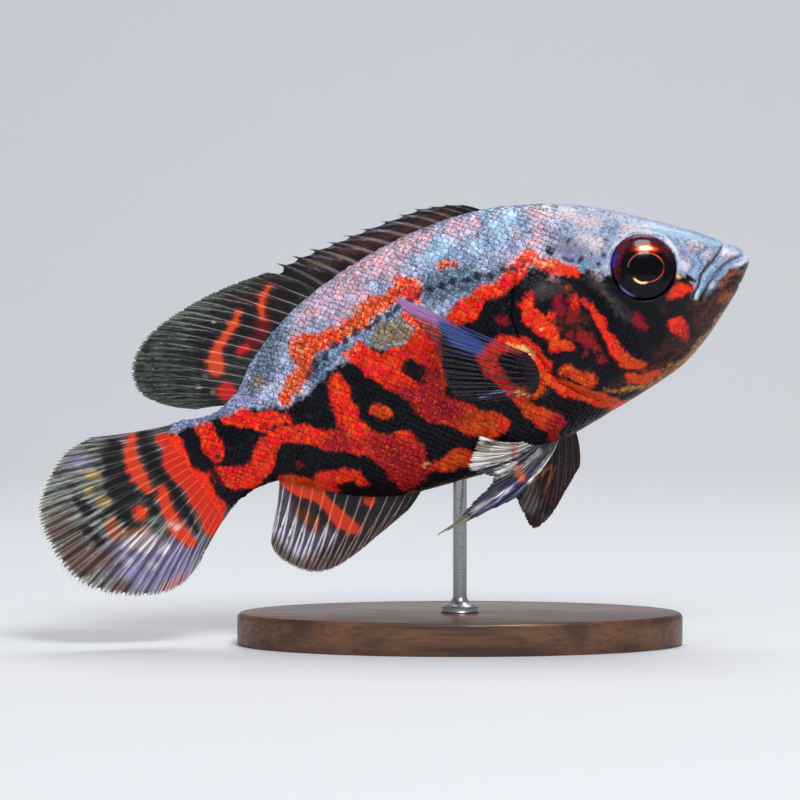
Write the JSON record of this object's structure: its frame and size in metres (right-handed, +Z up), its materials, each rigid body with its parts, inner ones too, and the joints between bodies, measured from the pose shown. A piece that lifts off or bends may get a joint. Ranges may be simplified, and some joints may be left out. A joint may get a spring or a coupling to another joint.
{
  "type": "oscar fish model",
  "caption": "Life-size tiger oscar, a deep-bodied cichlid with dark and orange-red marbling, held nose up as if swimming by a short rod on an oval display base.",
  "frame": {"origin": "centre of the display base's flat underside", "axes": "+Z up, +X the way the fish's head points, +Y towards the fish's left side"},
  "size_m": [0.1523, 0.05, 0.0949],
  "materials": {
    "skin": "moist, lightly glossy",
    "fin": "satin, slightly see-through towards the rim",
    "eye": "glossy",
    "base": "satin varnish",
    "rod": "brushed"
  },
  "bodies": {
    "root": {"head": "skin", "upper_lip": "skin", "lower_jaw": "skin", "gill_cover_left": "skin", "gill_cover_right": "skin", "torso": "skin", "tail_stalk": "skin", "eye_left": "eye", "eye_right": "eye", "dorsal_fin_spines": "fin", "dorsal_fin_rays": "fin", "anal_fin": "fin", "caudal_fin": "fin", "pectoral_fin_left": "fin", "pectoral_fin_right": "fin", "pelvic_fin_left": "fin", "pelvic_fin_right": "fin", "stand_base": "base", "stand_rod": "rod"}
  },
  "joints": []
}
